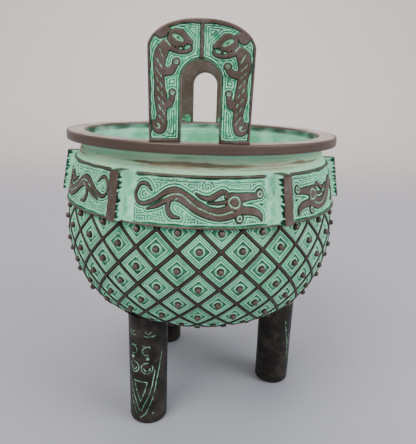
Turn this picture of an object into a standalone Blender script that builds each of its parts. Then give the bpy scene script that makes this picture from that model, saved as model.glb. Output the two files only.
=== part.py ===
"""Bronze ding: a round three-legged vessel with two loop handles, cast in one piece.

Metres, +Z up. The origin is on the vessel's axis, on the surface that its feet stand on.
The handles stand at -Y and +Y. Angles are measured from -Y towards +X.
"""
import math

import bmesh
import bpy
import numpy as np
from mathutils import Matrix, Vector

# Rim
rim_radius = 0.0790
rim_height = 0.1672
rim_thickness = 0.0048
rim_edge = 0.0007
lip_width = 0.0103
mouth_cut_rise = 0.0028

# Neck: how far it stands inside the rim, and where the belt starts below it
neck_inset = 0.0084
neck_height = 0.0152
neck_hollow = 0.0006

# Belt between its two raised lines
belt_height = 0.0232
belt_top_flare = 0.0046
belt_flare = 0.0052
line_width = 0.0012
line_rise = 0.0009

# Bowl: a slight swell under the belt, then a superellipse down to the middle
lattice_setback = 0.0014
swell = 0.0014
swell_height = 0.0152
bowl_depth = 0.0531
bowl_power_out = 4.40
bowl_power_down = 1.842
wall = 0.0030

# Lattice of lozenges: its first row of centres lies a little under the belt
lozenges_around = 24
knob_rows = 7
lozenge_half_height = 0.01015
lattice_start = 0.0016
rib_half_width = 0.0011
panel_depth = 0.0009
bed_depth = 0.0032
knob_radius = 0.0018
knob_top_radius = 0.0013
knob_rise = 0.0018
knob_sides = 5
first_knob_drop = 0.0013
bed_rings = 4

# Flanges that part the belt into panels
flanges = 6
flange_width = 0.0060
flange_top_rise = 0.0062
flange_bottom_rise = 0.0052
flange_overhang = 0.0006
flange_root = 0.0012
flange_bevel = 0.0005

# Legs
legs = 3
leg_circle = 0.0524
leg_top_radius = 0.0114
leg_foot_radius = 0.0109
leg_first = math.radians(-32.5)
leg_bevel = 0.0018
leg_sides = 14
leg_root = 0.0015

# Handles, which stand a little turned from the middle of their panels
handle_turn = math.radians(-1.0)
handle_inset = 0.0038
handle_thickness = 0.0066
handle_half_width = 0.0226
handle_flare = 0.0007
handle_height = 0.0521
handle_shoulder = 0.0118
handle_power_out = 2.3
handle_power_up = 1.8
arch_half_width = 0.0086
arch_height = 0.0354
handle_root = 0.0030
handle_bevel = 0.0006
shoulder_steps = 11
arch_steps = 7

# Raised figures: belt dragons and handle beasts, and the sizes their outlines are drawn to in millimetres
figure_rise = 0.0010
figure_root = 0.0006
beast_rise = 0.0008
drawn_belt = 23.2
drawn_handle_half_width = 22.6
drawn_handle_height = 51.6

turned_steps = 32
swell_steps = 40
bowl_steps = 300
hollow_steps = 22
hollow_rings = (0.24, 0.46, 0.62, 0.80)

# Worked out from the sizes above
mouth_radius = rim_radius - lip_width
rim_underside = rim_height - rim_thickness
neck_radius = rim_radius - neck_inset
belt_top_height = rim_height - neck_height
belt_top_radius = neck_radius + belt_top_flare
belt_bottom_height = belt_top_height - belt_height
belt_bottom_radius = belt_top_radius + belt_flare
lattice_top_height = belt_bottom_height - lattice_start
lattice_top_radius = belt_bottom_radius - lattice_setback
belly_height = lattice_top_height - swell_height
belly_radius = lattice_top_radius + swell
bowl_bottom = belly_height - bowl_depth
lattice_length = knob_rows * lozenge_half_height - rib_half_width


def clear_scene():
    for thing in list(bpy.data.objects):
        bpy.data.objects.remove(thing)


def new_collection(name):
    made = bpy.data.collections.new(name)
    bpy.context.scene.collection.children.link(made)
    return made


def bronze():
    """Bronze under a green patina, as one even finish."""
    made = bpy.data.materials.new("patinated_bronze")
    made.use_nodes = True
    shader = made.node_tree.nodes["Principled BSDF"]
    shader.inputs["Base Color"].default_value = (0.10, 0.30, 0.20, 1.0)
    shader.inputs["Metallic"].default_value = 0.35
    shader.inputs["Roughness"].default_value = 0.6
    return made


def helper(name, meshes, collection):
    """One object, from meshes that stand clear of each other, that only joins the casting."""
    bm = bmesh.new()
    for mesh in meshes:
        bm.from_mesh(mesh)
        bpy.data.meshes.remove(mesh)
    joined = bpy.data.meshes.new(name)
    bm.to_mesh(joined)
    bm.free()
    made = bpy.data.objects.new(name, joined)
    collection.objects.link(made)
    made.hide_render = True
    made.display_type = "WIRE"
    return made


def mesh_from(bm, name):
    bmesh.ops.connect_verts_nonplanar(bm, angle_limit=math.radians(0.1), faces=bm.faces[:])
    bmesh.ops.recalc_face_normals(bm, faces=bm.faces)
    if bm.calc_volume(signed=True) < 0:
        bmesh.ops.reverse_faces(bm, faces=bm.faces)
    mesh = bpy.data.meshes.new(name)
    bm.to_mesh(mesh)
    bm.free()
    return mesh


def around(radius, height, angle):
    """A point at an angle from -Y towards +X."""
    return Vector((radius * math.sin(angle), -radius * math.cos(angle), height))


class Outline:
    """A turned outline by its arc length, which is 0 at the lattice's first row."""

    def __init__(self, points):
        self.points = np.array(points)
        steps = np.linalg.norm(np.diff(self.points, axis=0), axis=1)
        self.arc = np.concatenate([[0.0], np.cumsum(steps)])
        self.arc -= np.interp(-lattice_top_height, -self.points[:, 1], self.arc)
        along = np.gradient(self.points, self.arc, axis=0)
        along /= np.linalg.norm(along, axis=1)[:, None]
        self.normals = np.column_stack([-along[:, 1], along[:, 0]])

    def normal(self, arc):
        return [np.interp(arc, self.arc, self.normals[:, k]) for k in (0, 1)]

    def at(self, arc, rise=0.0):
        """(radius, height) at an arc length, moved out along the normal by rise."""
        radius, height = (np.interp(arc, self.arc, self.points[:, k]) for k in (0, 1))
        out, up = self.normal(arc)
        return max(radius + rise * out, 0.0), height + rise * up

    def height_at(self, radius):
        """The outer height under a radius on the bowl's lower part."""
        low = self.points[self.points[:, 1] < belly_height]
        return np.interp(radius, low[::-1, 0], low[::-1, 1])


def bowl_outline():
    """The bowl's outside at the crest of its ribs, from the belt's bottom line to the middle."""
    points = []
    for height in np.linspace(belt_bottom_height, belly_height, swell_steps, endpoint=False):
        share = (height - belly_height) / swell_height
        points.append((belly_radius - swell * share ** 2, height))
    for turn in np.linspace(0.0, math.pi / 2, bowl_steps):
        out = max(math.cos(turn), 0.0) ** (2 / bowl_power_out)
        down = math.sin(turn) ** (2 / bowl_power_down)
        points.append((belly_radius * out, belly_height - bowl_depth * down))
    return Outline(points)


def belt_radius(height):
    """The belt's radius at the crest of its lines."""
    return belt_top_radius + belt_flare * (belt_top_height - height) / belt_height


def vessel_profile(bowl):
    """The outside as if solid: rim, neck, belt with its two lines, and the bed under the lattice."""
    half = line_width / 2
    belt_bottom_ledge = belt_bottom_height - half
    middle = (rim_underside + belt_top_height) / 2
    points = [
        (0.0, rim_height),
        (rim_radius - rim_edge, rim_height),
        (rim_radius, rim_height - rim_edge),
        (rim_radius, rim_underside),
        (neck_radius, rim_underside),
        ((neck_radius + belt_top_radius) / 2 - line_rise - neck_hollow, middle),
        (belt_top_radius - line_rise, belt_top_height + half),
        (belt_top_radius, belt_top_height + half),
        (belt_radius(belt_top_height - half), belt_top_height - half),
        (belt_radius(belt_top_height - half) - line_rise, belt_top_height - half),
        (belt_radius(belt_bottom_height + half) - line_rise, belt_bottom_height + half),
        (belt_radius(belt_bottom_height + half), belt_bottom_height + half),
        (belt_bottom_radius, belt_bottom_ledge),
        (bowl.at(0.0, -bed_depth)[0], belt_bottom_ledge),
    ]
    bed_arcs = np.linspace(2 * lozenge_half_height, lattice_length - bed_depth, bed_rings)
    points += [bowl.at(arc, -bed_depth) for arc in bed_arcs]
    lattice_end = lattice_length + rib_half_width
    middle_arc = (lattice_end + bowl.arc[-1]) / 2
    points += [bowl.at(arc, -panel_depth) for arc in (lattice_end, middle_arc)]
    points.append((0.0, bowl_bottom + panel_depth))
    return points


def hollow_profile(bowl):
    """The hollow, which keeps the wall's thickness under the neck, the belt and the bowl."""
    points = [
        (0.0, rim_height + mouth_cut_rise),
        (mouth_radius, rim_height + mouth_cut_rise),
        (mouth_radius, rim_height - rim_edge),
        (neck_radius - wall, rim_underside),
    ]
    for height in (belt_top_height, belt_bottom_height):
        points.append((belt_radius(height) - line_rise - wall, height))
    reach = bowl.arc[-1]
    for share in hollow_rings:
        points.append(bowl.at(share * reach, -panel_depth - wall))
    points.append((0.0, bowl_bottom + panel_depth + wall))
    return points


def turned(name, profile, steps, collection):
    """A turned solid from a profile that runs down its outer side."""
    mesh = bpy.data.meshes.new(name)
    corners = [(radius, 0.0, height) for radius, height in profile]
    mesh.from_pydata(corners, [(k, k + 1) for k in range(len(corners) - 1)], [])
    made = bpy.data.objects.new(name, mesh)
    collection.objects.link(made)
    screw = made.modifiers.new("Turn", "SCREW")
    screw.steps = screw.render_steps = steps
    screw.use_merge_vertices = True
    screw.merge_threshold = 0.00001
    return made


def lattice_net(bowl):
    """The net of lozenges with their knobs, laid out on a tube of squares and moved onto the bowl.

    Poking the squares and dissolving their own edges leaves lozenges, half a square apart.
    """
    square = 2 * lozenge_half_height
    squares_down = (knob_rows + 4) // 2
    bm = bmesh.new()
    bmesh.ops.create_cone(
        bm, cap_ends=False, segments=lozenges_around, radius1=belly_radius, radius2=belly_radius,
        depth=square * squares_down,
        matrix=Matrix.Translation((0.0, 0.0, square * (1 - squares_down / 2))),
    )
    upright = [edge for edge in bm.edges if len(edge.link_faces) == 2]
    bmesh.ops.subdivide_edges(bm, edges=upright, cuts=squares_down - 1)
    sides = [edge for edge in bm.edges if len(edge.link_faces) == 2]
    bmesh.ops.poke(bm, faces=bm.faces[:])
    bmesh.ops.dissolve_edges(bm, edges=sides, use_verts=False)
    for level, side in ((lattice_start, 1.0), (-lattice_length, -1.0)):
        bmesh.ops.bisect_plane(
            bm, geom=bm.verts[:] + bm.edges[:] + bm.faces[:],
            plane_co=(0.0, 0.0, level), plane_no=(0.0, 0.0, side), clear_outer=True,
        )
    # The tips that the belt cuts off above the first row are too small to be sunk.
    smallest = (2 * rib_half_width + lattice_start) ** 2
    panels = [face for face in bm.faces if face.calc_area() > smallest]
    bmesh.ops.inset_individual(bm, faces=panels, thickness=rib_half_width, use_even_offset=True)
    rises = {vert: -panel_depth for panel in panels for vert in panel.verts}
    for panel in panels:
        raise_knob(bm, panel, bowl, rises)
    for vert in bm.verts:
        angle = math.atan2(vert.co.x, -vert.co.y)
        vert.co = around(*bowl.at(-vert.co.z, rises.get(vert, 0.0)), angle)
    bmesh.ops.holes_fill(bm, edges=bm.edges, sides=0)
    return mesh_from(bm, "lattice")


def raise_knob(bm, panel, bowl, rises):
    """A knob in a whole lozenge, or just under the belt in one that the belt cuts."""
    levels = [vert.co.z for vert in panel.verts]
    middle_arc = -(max(levels) + min(levels)) / 2
    whole = max(levels) - min(levels) > 1.5 * lozenge_half_height
    cut_by_belt = max(levels) > 0.0
    if not whole and not cut_by_belt:
        return
    arc = first_knob_drop if cut_by_belt else middle_arc
    middle = panel.calc_center_median()
    angle = math.atan2(middle.x, -middle.y)
    facing = around(1.0, 0.0, angle).to_track_quat("Z", "Y").to_matrix().to_4x4()
    squeeze = Matrix.Diagonal((belly_radius / bowl.at(arc)[0], 1.0, 1.0, 1.0))
    place = Matrix.Translation(around(belly_radius, -arc, angle)) @ facing @ squeeze
    edges = panel.edges[:]
    bmesh.ops.delete(bm, geom=[panel], context="FACES_ONLY")
    ring = bmesh.ops.create_circle(
        bm, cap_ends=True, segments=knob_sides, radius=knob_radius, matrix=place)["verts"]
    foot = ring[0].link_faces[0]
    bmesh.ops.bridge_loops(bm, edges=edges + foot.edges[:])
    top = bmesh.ops.extrude_discrete_faces(bm, faces=[foot])["faces"][0]
    centre = top.calc_center_median()
    for vert in ring:
        rises[vert] = -panel_depth
    for vert in top.verts:
        vert.co = centre + (vert.co - centre) * knob_top_radius / knob_radius
        rises[vert] = knob_rise


def flange(angle):
    """An upright flange, whose outer face leans out downwards like the belt."""
    bm = bmesh.new()
    bmesh.ops.create_cube(bm, size=1.0)
    top = belt_top_height + line_width / 2 + flange_overhang
    bottom = belt_bottom_height + line_width / 2
    for vert in bm.verts:
        height = top if vert.co.z > 0 else bottom
        rise = flange_top_rise if vert.co.z > 0 else flange_bottom_rise
        base = belt_radius(min(height, belt_top_height)) - line_rise
        radius = base + rise + line_rise if vert.co.y < 0 else base - flange_root
        vert.co = (math.copysign(flange_width / 2, vert.co.x), -radius, height)
    outer = [edge for edge in bm.edges if all(v.co.y < -belt_top_radius - line_rise for v in edge.verts)]
    bmesh.ops.bevel(bm, geom=outer, offset=flange_bevel, segments=1, affect="EDGES")
    bmesh.ops.rotate(bm, verts=bm.verts, matrix=Matrix.Rotation(angle, 3, "Z"))
    return mesh_from(bm, "flange")


def leg(bowl, angle):
    """A round leg with a worn edge at its foot. Its top ends in the bowl's wall."""
    top = bowl.height_at(leg_circle + leg_top_radius) + leg_root
    bm = bmesh.new()
    bmesh.ops.create_cone(
        bm, cap_ends=True, segments=leg_sides, radius1=leg_foot_radius, radius2=leg_top_radius,
        depth=top, matrix=Matrix.Translation((0.0, 0.0, top / 2)),
    )
    foot = [edge for edge in bm.edges if all(vert.co.z < leg_bevel for vert in edge.verts)]
    bmesh.ops.bevel(bm, geom=foot, offset=leg_bevel, segments=1, affect="EDGES")
    bmesh.ops.translate(bm, verts=bm.verts, vec=around(leg_circle, 0.0, angle))
    return mesh_from(bm, "leg")


def flat_piece(outline, half_depth, rounding=0.0):
    """A plate with a flat outline in X and Y and a depth along Z, its two rims cut back by rounding."""
    bm = bmesh.new()
    back = bm.faces.new([bm.verts.new((x, y, -half_depth)) for x, y in outline])
    pulled = bmesh.ops.extrude_face_region(bm, geom=[back])["geom"]
    for vert in pulled:
        if isinstance(vert, bmesh.types.BMVert):
            vert.co.z = half_depth
    if rounding:
        rims = [edge for edge in bm.edges if edge.verts[0].co.z == edge.verts[1].co.z]
        bmesh.ops.bevel(bm, geom=rims, offset=rounding, segments=1, affect="EDGES")
    for vert in bm.verts:
        if abs(vert.co.z) > half_depth - rounding / 2:
            vert.co.z = math.copysign(half_depth, vert.co.z)
    return bm


def handle_outline():
    """An arched plate with round shoulders and an arched opening, from its left foot round."""
    foot = -handle_root
    straight = handle_height - handle_shoulder
    shoulder = handle_half_width + handle_flare
    outline = [(-handle_half_width, foot)]
    for turn in np.linspace(math.pi, 0.0, shoulder_steps):
        across = math.copysign(abs(math.cos(turn)) ** (2 / handle_power_out), math.cos(turn))
        rise = abs(math.sin(turn)) ** (2 / handle_power_up)
        outline.append((shoulder * across, straight + handle_shoulder * rise))
    outline += [(handle_half_width, foot), (arch_half_width, foot)]
    springing = arch_height - arch_half_width
    for turn in np.linspace(0.0, math.pi, arch_steps):
        outline.append((arch_half_width * math.cos(turn), springing + arch_half_width * math.sin(turn)))
    outline.append((-arch_half_width, foot))
    return outline


def onto_handle(x, up, out, side):
    """A handle's point: across, above the rim and out from its outer face, at side -1 or +1."""
    face = rim_radius - handle_inset
    point = Vector((-side * x, side * (face + out), rim_height + up))
    point.rotate(Matrix.Rotation(handle_turn, 3, "Z"))
    return point


def handle(side):
    bm = flat_piece(handle_outline(), handle_thickness / 2, handle_bevel)
    for vert in bm.verts:
        x, up, out = vert.co
        vert.co = onto_handle(x, up, out - handle_thickness / 2, side)
    return mesh_from(bm, "handle")


def band(spine, half_widths):
    """The two sides of a band along a spine: to the left of its run, and to the right."""
    spine = np.array(spine, float)
    along = np.gradient(spine, axis=0)
    along /= np.linalg.norm(along, axis=1)[:, None]
    across = np.column_stack([-along[:, 1], along[:, 0]]) * np.array(half_widths)[:, None]
    return (spine + across).tolist(), (spine - across).tolist()


def dragon_outline():
    """A belt dragon in millimetres: to the right of its panel's middle, above the belt's bottom line.

    Its tail curls at the left, its body waves once, and its jaws gape at the right.
    """
    upper, lower = band(
        [(-24.4, 16.2), (-29.2, 18.2), (-31.6, 13.4), (-27.4, 9.2), (-18.4, 12.0), (-11.3, 15.0),
         (-3.4, 11.4), (4.6, 6.9), (12.6, 7.2)],
        [0.5, 1.0, 0.8, 1.0, 2.1, 2.4, 2.4, 2.3, 2.3],
    )
    crest = [(11.2, 12.4), (4.4, 12.4), (-1.9, 15.0), (4.2, 14.6), (8.4, 16.8)]
    upper_jaw = [(11.8, 15.4), (15.4, 16.9), (25.6, 15.9), (29.4, 16.2), (28.6, 13.2), (19.0, 11.4)]
    lower_jaw = [(20.4, 9.0), (26.8, 7.6), (28.4, 3.6), (23.4, 6.1), (15.8, 4.2)]
    leg_hook = [(-13.2, 11.4), (-13.3, 6.9), (-9.6, 4.6), (-9.4, 3.2), (-15.4, 5.6), (-16.0, 9.6)]
    return upper + crest + upper_jaw + lower_jaw + lower[:5:-1] + leg_hook + lower[4::-1]


def beast_outline():
    """A handle beast in millimetres: its distance from the handle's middle, and above the rim.

    It climbs the handle's side, with its head at the top facing the middle.
    """
    back, belly = band(
        [(17.2, 38.0), (17.2, 27.5), (17.0, 15.5), (15.2, 9.6), (18.2, 7.0), (19.9, 9.6)],
        [2.4, 2.4, 2.3, 1.7, 1.4, 0.8],
    )
    hind_leg = [(11.9, 19.6), (12.0, 24.0), (13.9, 24.0), (14.6, 21.4)]
    fore_leg = [(11.2, 32.4), (10.0, 36.4), (12.2, 36.6), (13.2, 34.4)]
    jaw = [(12.2, 38.6), (4.8, 39.6), (7.6, 41.6)]
    brow = [(4.2, 43.2), (8.4, 46.4), (18.2, 47.2), (19.6, 42.4)]
    return back + belly[:1:-1] + hind_leg + [belly[1]] + fore_leg + [belly[0]] + jaw + brow


def dragon(middle, facing):
    """A dragon on the belt. Its head is towards growing angles where facing is 1."""
    bm = flat_piece(dragon_outline(), figure_rise)
    scale = belt_height / drawn_belt
    for vert in bm.verts:
        height = belt_bottom_height + scale * vert.co.y
        angle = middle + facing * scale * vert.co.x / belt_bottom_radius
        rise = figure_rise if vert.co.z > 0 else -figure_root
        vert.co = around(belt_radius(height) - line_rise + rise, height, angle)
    return mesh_from(bm, "dragon")


def beast(side, facing):
    """A beast on a handle's outer face, in the half that facing gives."""
    bm = flat_piece(beast_outline(), beast_rise)
    for vert in bm.verts:
        x = -facing * vert.co.x * handle_half_width / drawn_handle_half_width
        up = vert.co.y * handle_height / drawn_handle_height
        vert.co = onto_handle(x, up, vert.co.z, side)
    return mesh_from(bm, "beast")


def boolean(casting, operation, operand):
    made = casting.modifiers.new(operand.name, "BOOLEAN")
    made.operation = operation
    made.solver = "EXACT"
    made.object = operand


def build():
    clear_scene()
    vessel = new_collection("bronze_ding")
    helpers = new_collection("cutters")

    bowl = bowl_outline()
    casting = turned("ding_casting", vessel_profile(bowl), turned_steps, vessel)
    casting.data.materials.append(bronze())
    hollow = turned("hollow", hollow_profile(bowl), hollow_steps, helpers)
    hollow.hide_render = True
    hollow.display_type = "WIRE"

    limbs = [flange(math.tau * (index + 0.5) / flanges) for index in range(flanges)]
    limbs += [leg(bowl, leg_first + math.tau * index / legs) for index in range(legs)]
    limbs += [handle(side) for side in (-1, 1)]
    figures = [dragon(math.tau * index / flanges, (-1) ** index) for index in range(flanges)]
    figures += [beast(side, facing) for side in (-1, 1) for facing in (-1, 1)]
    boolean(casting, "UNION", helper("lattice", [lattice_net(bowl)], helpers))
    boolean(casting, "UNION", helper("limbs", limbs, helpers))
    boolean(casting, "UNION", helper("figures", figures, helpers))
    boolean(casting, "DIFFERENCE", hollow)


build()
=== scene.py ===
import math

import bpy
import numpy as np
from mathutils import Matrix, Vector


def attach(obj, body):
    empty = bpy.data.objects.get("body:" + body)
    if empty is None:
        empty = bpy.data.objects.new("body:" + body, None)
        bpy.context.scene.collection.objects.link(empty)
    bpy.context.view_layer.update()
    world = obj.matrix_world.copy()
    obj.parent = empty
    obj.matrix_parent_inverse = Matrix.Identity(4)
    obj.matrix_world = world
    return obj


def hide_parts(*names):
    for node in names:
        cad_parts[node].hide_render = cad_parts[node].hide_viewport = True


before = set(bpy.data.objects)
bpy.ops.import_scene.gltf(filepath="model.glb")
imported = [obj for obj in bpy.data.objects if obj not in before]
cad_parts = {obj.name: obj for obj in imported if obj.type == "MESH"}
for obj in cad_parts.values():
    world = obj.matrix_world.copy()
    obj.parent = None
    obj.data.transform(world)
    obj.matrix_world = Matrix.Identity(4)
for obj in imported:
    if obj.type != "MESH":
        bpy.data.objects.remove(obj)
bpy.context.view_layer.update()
castingNode = "ding_casting"
mm = 0.001
weldGap = 0.0005
far = 1e3

print("stage: frame loaded")


# Vessel outline
vessel = {
    "rimRadius": 79.0,
    "rimHeight": 167.2,
    "rimThickness": 4.8,
    "rimEdge": 0.7,
    "mouthRadius": 68.7,
    "neckRadius": 70.6,
    "neckHollow": 0.6,
    "beltTop": 152.0,
    "beltTopRadius": 75.2,
    "beltBottom": 128.8,
    "beltBottomRadius": 80.4,
    "lineWidth": 1.2,
    "lineRise": 0.9,
    "latticeTop": 127.2,
    "bellyHeight": 112.0,
    "bellyRadius": 80.4,
    "swell": 1.4,
    "bowlDepth": 53.1,
    "powerOut": 4.40,
    "powerDown": 1.842,
    "wall": 3.0,
}


# A soft step from 0 at low to 1 at high.
def smooth(value, low, high):
    t = np.clip((np.asarray(value, float) - low) / (high - low), 0.0, 1.0)
    return t * t * (3.0 - 2.0 * t)


# A soft ridge, 1 at the middle and 0 from halfWidth away.
def bump(value, middle, halfWidth):
    return 1.0 - smooth(np.abs(np.asarray(value, float) - middle), 0.0, halfWidth)


# Points from coordinates that fit together, each a number or a grid.
def pointsOf(*coordinates):
    return np.stack(np.broadcast_arrays(*coordinates), axis=-1)


# Points at an angle from -Y towards +X.
def around(radius, angle, height):
    return pointsOf(radius * np.sin(angle), -radius * np.cos(angle), height)


# Points turned about the vessel's axis, so that -Y moves towards +X.
def rotate(points, angle):
    x, y = points[..., 0], points[..., 1]
    across, along = x * math.cos(angle) - y * math.sin(angle), x * math.sin(angle) + y * math.cos(angle)
    return pointsOf(across, along, points[..., 2])


# A grid with its first column again at the end, so that it closes round.
def closed(grid):
    return np.concatenate([grid, grid[:, :1]], axis=1)


def newObject(name, data):
    made = bpy.data.objects.new(name, data)
    bpy.context.scene.collection.objects.link(made)
    return made


# A smooth random field over 3-D points, from a sum of waves. It is about -1 to 1.
def makeNoise(seed, waves=36):
    random = np.random.default_rng(seed)
    directions = random.normal(size=(waves, 3))
    directions /= np.linalg.norm(directions, axis=1)[:, None]
    lengths = random.uniform(0.6, 1.8, size=waves)
    phases = random.uniform(0.0, math.tau, size=waves)

    def field(points, size):
        flat = np.asarray(points, float).reshape(-1, 3) / size
        total = np.zeros(len(flat))
        for direction, length, phase in zip(directions, lengths, phases):
            total += np.sin(flat @ direction * length * math.tau * 0.5 + phase)
        return (total / math.sqrt(waves)).reshape(np.asarray(points).shape[:-1])

    return field


unevenness = makeNoise(11)
wobble = makeNoise(23)


# Flat points with a third coordinate, such as a depth or another layer of a random field.
def layer(points, k):
    return pointsOf(points[..., 0], points[..., 1], k)


# Points pushed a little by two layers of the wobble, so that lines look cut by hand.
def handDrawn(points, push, size, first, second):
    return points + push * np.stack([wobble(layer(points, k), size) for k in (first, second)], axis=-1)


# Arc length, radius, height and outward normal down the bowl's ribs. Arc 0 is the first row of lozenges.
def bowlOutline():
    v = vessel
    swellHeight = v["latticeTop"] - v["bellyHeight"]
    upper = np.linspace(v["beltBottom"], v["bellyHeight"], 60, endpoint=False)
    points = [(v["bellyRadius"] - v["swell"] * ((z - v["bellyHeight"]) / swellHeight) ** 2, z) for z in upper]
    for turn in np.linspace(0.0, math.pi / 2, 600):
        out = max(math.cos(turn), 0.0) ** (2 / v["powerOut"])
        down = math.sin(turn) ** (2 / v["powerDown"])
        points.append((v["bellyRadius"] * out, v["bellyHeight"] - v["bowlDepth"] * down))
    points = np.array(points)
    steps = np.linalg.norm(np.diff(points, axis=0), axis=1)
    arc = np.concatenate([[0.0], np.cumsum(steps)])
    arc -= np.interp(-v["latticeTop"], -points[:, 1], arc)
    along = np.gradient(points, arc, axis=0)
    along /= np.linalg.norm(along, axis=1)[:, None]
    return arc, points[:, 0], points[:, 1], -along[:, 1], along[:, 0]


bowlArc, bowlRadius, bowlHeight, bowlOut, bowlUp = bowlOutline()


# (radius, height) on the bowl at an arc length, moved out along the normal by rise.
def onBowl(arc, rise):
    radius = np.interp(arc, bowlArc, bowlRadius) + rise * np.interp(arc, bowlArc, bowlOut)
    height = np.interp(arc, bowlArc, bowlHeight) + rise * np.interp(arc, bowlArc, bowlUp)
    return np.maximum(radius, 0.0), height


# The belt's radius at the crest of its lines.
def beltCrest(height):
    v = vessel
    share = (v["beltTop"] - height) / (v["beltTop"] - v["beltBottom"])
    return v["beltTopRadius"] + (v["beltBottomRadius"] - v["beltTopRadius"]) * share


# Distance from each point to a polyline. With half widths it is a band's, below 0 inside.
def distanceTo(points, line, halfWidths=None):
    line = np.array(line, float)
    if halfWidths is None:
        halfWidths = np.zeros(len(line))
    nearest = np.full(points.shape[:-1], 1e9)
    for a, b, wideA, wideB in zip(line[:-1], line[1:], halfWidths[:-1], halfWidths[1:]):
        along = b - a
        t = np.clip(((points - a) @ along) / max(along @ along, 1e-9), 0.0, 1.0)
        gap = np.linalg.norm(points - (a + t[..., None] * along), axis=-1)
        nearest = np.minimum(nearest, gap - (wideA + t * (wideB - wideA)))
    return nearest


# Distance to a band along rows of (x, y, half width), rounded, below 0 inside.
def bandDistance(points, rows):
    rows = rounded(rows)
    return distanceTo(points, rows[:, :2], rows[:, 2])


# Rows of numbers, rounded by a spline through them.
def rounded(rows, steps=6):
    rows = np.array(rows, float)
    padded = np.vstack([2 * rows[0] - rows[1], rows, 2 * rows[-1] - rows[-2]])
    made = []
    for a, b, c, d in zip(padded[:-3], padded[1:-2], padded[2:-1], padded[3:]):
        for t in np.linspace(0.0, 1.0, steps, endpoint=False):
            made.append(0.5 * (2 * b + (c - a) * t + (2 * a - 5 * b + 4 * c - d) * t * t
                               + (3 * b - a - 3 * c + d) * t ** 3))
    made.append(rows[-1])
    return np.array(made)


# Distances to a figure's solid parts, and to the rings cut in its rounds.
def figureParts(points, figure):
    rounds = figure["rounds"]
    solids = [bandDistance(points, rows) for rows in figure["bands"].values()]
    solids += [disc(points, (x, y), radius) for x, y, radius, _ in rounds]
    return solids, [ring(points, (x, y), line) for x, y, _, line in rounds if line]


# Signed distance to a closed outline, below 0 inside it.
def polygonDistance(points, corners):
    corners = np.array(corners, float)
    inside = np.zeros(points.shape[:-1], bool)
    x, y = points[..., 0], points[..., 1]
    for a, b in zip(corners, np.roll(corners, -1, axis=0)):
        crosses = (a[1] > y) != (b[1] > y)
        edge = (b[0] - a[0]) * (y - a[1]) / (b[1] - a[1] + 1e-12) + a[0]
        inside ^= crosses & (x < edge)
    gap = distanceTo(points, np.vstack([corners, corners[:1]]))
    return np.where(inside, -gap, gap)


# Distance from a circle's line.
def ring(points, centre, radius):
    return np.abs(np.linalg.norm(points - np.array(centre), axis=-1) - radius)


# Signed distance to a circle, below 0 inside it.
def disc(points, centre, radius):
    return np.linalg.norm(points - np.array(centre), axis=-1) - radius


# Distance from the line of a round spiral inside a circle.
def roundSpiral(points, centre, outer, pitch, turn):
    offset = points - np.array(centre)
    radius = np.linalg.norm(offset, axis=-1)
    angle = np.arctan2(offset[..., 1], offset[..., 0]) * turn
    phase = radius / pitch + angle / math.tau
    gap = np.abs(phase - np.round(phase)) * pitch
    return np.where(radius < outer, gap, far)


# Distance from the lines of a field of angular spirals, in cells of that size.
def squareSpirals(points, width, height, pitch):
    column = np.floor(points[..., 0] / width)
    row = np.floor(points[..., 1] / height)
    x = points[..., 0] - (column + 0.5) * width
    y = (points[..., 1] - (row + 0.5) * height) * width / height
    flip = np.where((column + row) % 2 < 1, 1.0, -1.0)
    side = np.where(np.abs(x) > np.abs(y), np.where(x * flip > 0, 0.0, 2.0), np.where(y > 0, 1.0, 3.0))
    phase = np.maximum(np.abs(x), np.abs(y)) / pitch - side / 4
    return np.abs(phase - np.round(phase)) * pitch


# A mesh with the masks its finish reads: bronze (bare raised metal), pale (chalky lines) and a third mask of
# painted shade in grooves, round raised figures and under overhangs, which also darkens the metal of the
# ribs.
class Relief:

    def __init__(self):
        self.points = []
        self.faces = []
        self.masks = {"bronze": [], "pale": [], "deep": []}
        self.count = 0

    # A grid of points as quads. Each mask is one number, or one for each point.
    def addGrid(self, points, flip=False, **masks):
        rows, columns = points.shape[:2]
        index = self.count + np.arange(rows * columns).reshape(rows, columns)
        quads = np.stack([index[:-1, :-1], index[1:, :-1], index[1:, 1:], index[:-1, 1:]], axis=-1)
        quads = quads.reshape(-1, 4)
        self.faces.append(quads[:, ::-1] if flip else quads)
        self.points.append(points.reshape(-1, 3))
        self.count += rows * columns
        for name, values in masks.items():
            self.masks[name].append(np.broadcast_to(values, (rows, columns)).ravel())

    # Welds doubled points, smooths the shading and sets the piece on the casting's body.
    def build(self, name, material):
        points = np.concatenate(self.points) * mm
        keys = np.round(points / (weldGap * mm)).astype(np.int64)
        _, first, inverse = np.unique(keys, axis=0, return_index=True, return_inverse=True)
        faces = inverse.ravel()[np.concatenate(self.faces)]
        loops = [face for face in map(dropRepeats, faces.tolist()) if len(face) > 2]
        mesh = bpy.data.meshes.new(name)
        mesh.from_pydata(points[first].tolist(), [], loops)
        for maskName, values in self.masks.items():
            attribute = mesh.attributes.new(maskName, "FLOAT", "POINT")
            shares = np.clip(np.concatenate(values)[first], 0.0, 1.0)
            attribute.data.foreach_set("value", shares.astype(np.float32))
        mesh.validate()
        mesh.shade_smooth()
        mesh.materials.append(material)
        piece = newObject(name, mesh)
        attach(piece, "root")
        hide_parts(castingNode)
        print("stage:", name, sum(len(face) - 2 for face in loops), "triangles")


# A face without the corners that fell on the one before.
def dropRepeats(face):
    return [corner for k, corner in enumerate(face) if corner != face[k - 1]]


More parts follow.
